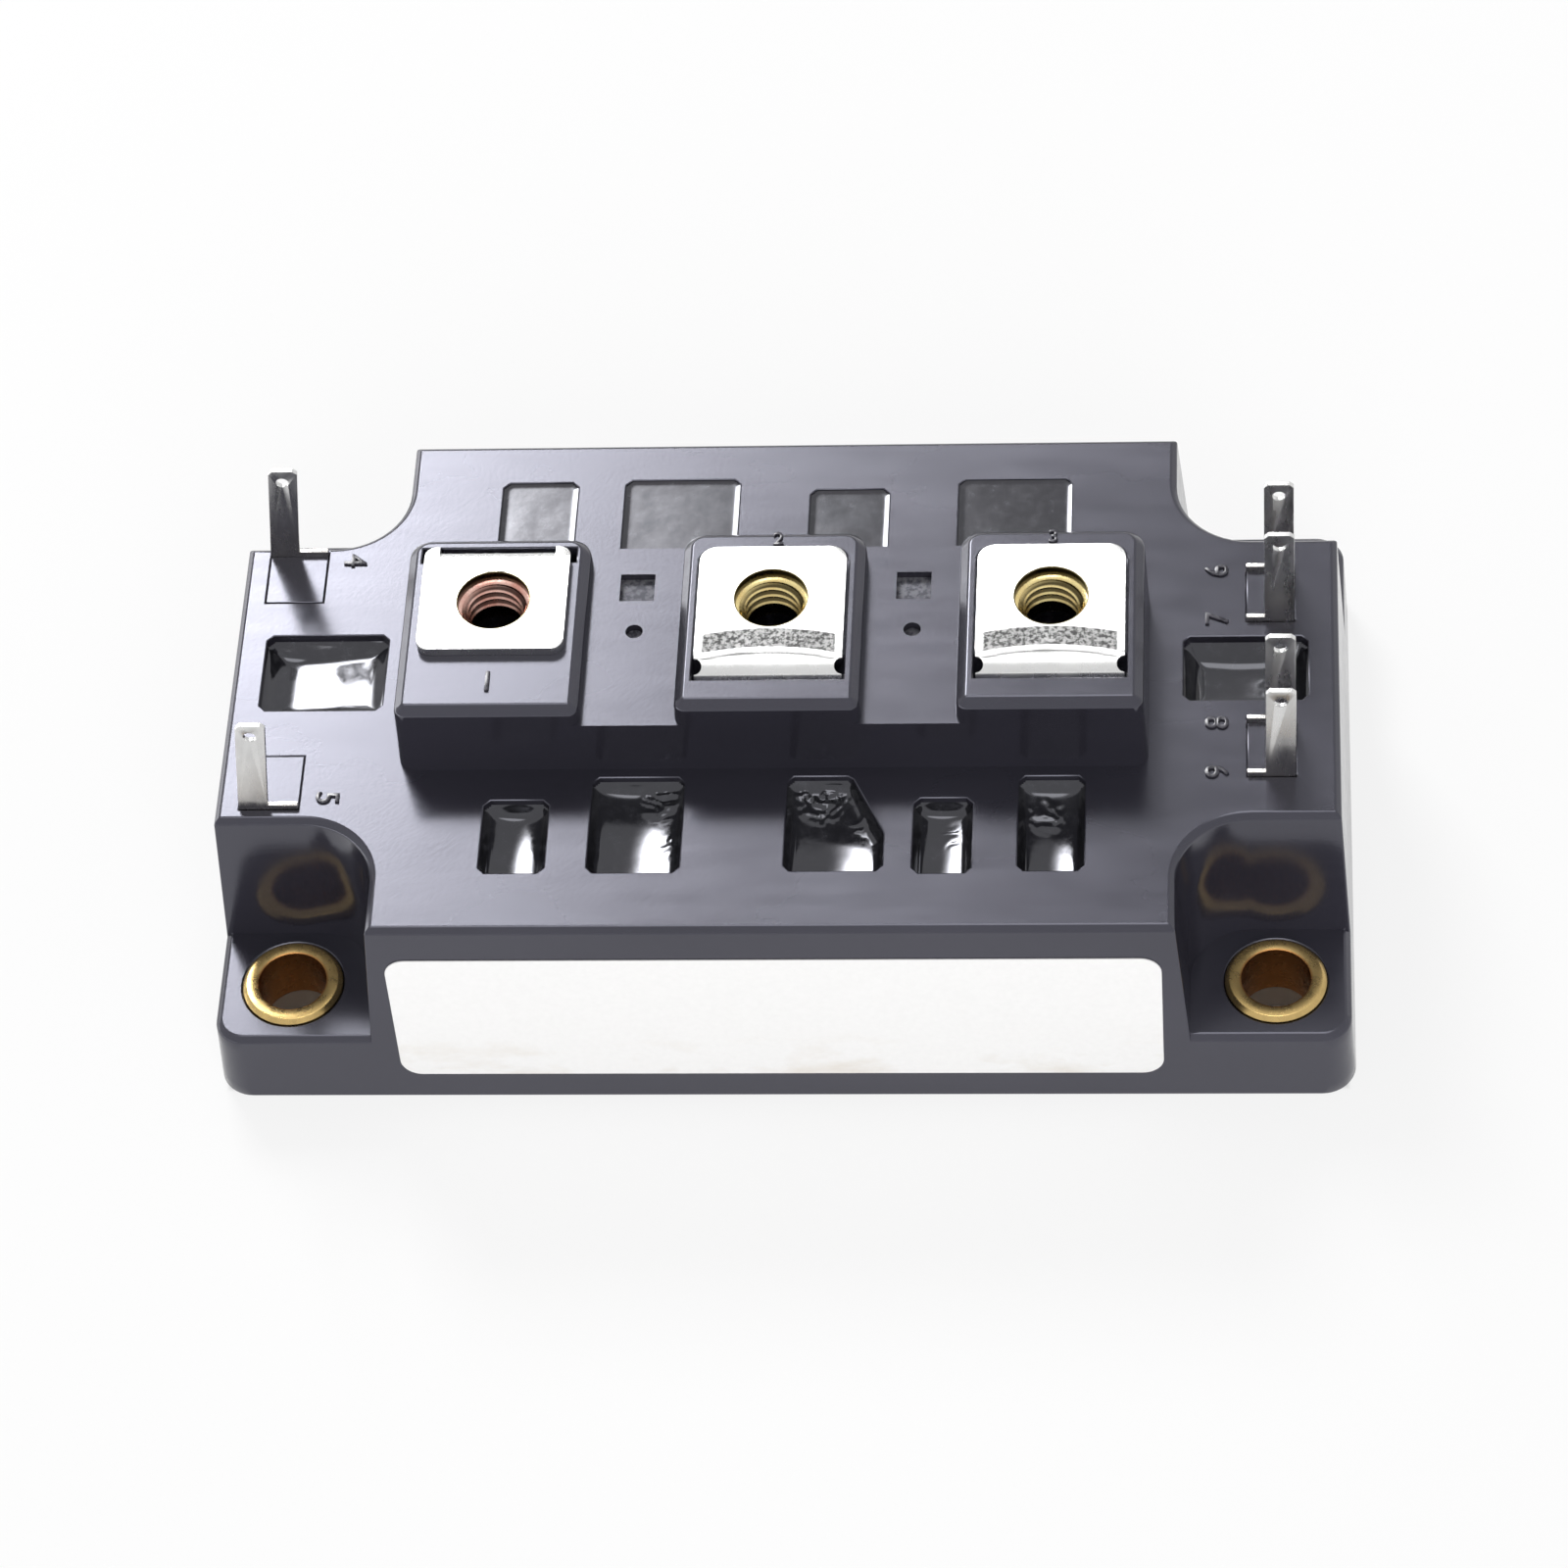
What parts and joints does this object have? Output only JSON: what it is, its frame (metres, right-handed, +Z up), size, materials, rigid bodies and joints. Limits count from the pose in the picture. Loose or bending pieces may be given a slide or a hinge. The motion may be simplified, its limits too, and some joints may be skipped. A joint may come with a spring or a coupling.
{
  "type": "igbt module",
  "caption": "Black power switching module: notched case with potted windows, bolted corner bushes, bent screw terminals over captive nuts on raised towers, and flat signal tabs.",
  "frame": {"origin": "centre of the underside, where the base plate rests", "axes": "+X along the length towards the side with four signal tabs, +Y from the labelled front to the back, +Z up through the terminals"},
  "size_m": [0.108, 0.062, 0.037],
  "materials": {
    "black_case": "satin moulded plastic",
    "black_resin": "glossy cured resin",
    "gold_bush": "yellow plated, satin",
    "tinned_plate": "tin-plated copper, satin",
    "tinned_tab": "tin-plated brass, satin",
    "yellow_nut": "yellow zinc plating",
    "copper_nut": "copper-coloured plating",
    "plated_base": "nickel-plated copper, machined",
    "bare_copper": "bare copper",
    "white_ceramic": "fired, matte",
    "silicon_chip": "polished silicon with a metal face",
    "bond_aluminium": "drawn",
    "clear_gel": "clear soft gel",
    "white_label": "smooth label stock"
  },
  "bodies": {
    "root": {"backing_copper_left": "bare_copper", "backing_copper_right": "bare_copper", "base_plate": "plated_base", "bond_straps_left": "bond_aluminium", "bond_straps_right": "bond_aluminium", "bush_back_left": "gold_bush", "bush_back_right": "gold_bush", "bush_front_left": "gold_bush", "bush_front_right": "gold_bush", "ceramic_left": "white_ceramic", "ceramic_right": "white_ceramic", "circuit_copper_left": "bare_copper", "circuit_copper_right": "bare_copper", "diode_chip_left": "silicon_chip", "diode_chip_right": "silicon_chip", "front_label": "white_label", "housing": "black_case", "link_strip": "bare_copper", "main_terminal_left": "tinned_plate", "main_terminal_middle": "tinned_plate", "main_terminal_right": "tinned_plate", "nut_left": "copper_nut", "nut_middle": "yellow_nut", "nut_right": "yellow_nut", "potting_resin": "black_resin", "signal_tab_left_back": "tinned_tab", "signal_tab_left_front": "tinned_tab", "signal_tab_right_1": "tinned_tab", "signal_tab_right_2": "tinned_tab", "signal_tab_right_3": "tinned_tab", "signal_tab_right_4": "tinned_tab", "silicone_gel": "clear_gel", "tab_block_left_back": "black_case", "tab_block_left_front": "black_case", "tab_block_right_back": "black_case", "tab_block_right_front": "black_case", "transistor_chip_left": "silicon_chip", "transistor_chip_right": "silicon_chip"}
  },
  "joints": []
}
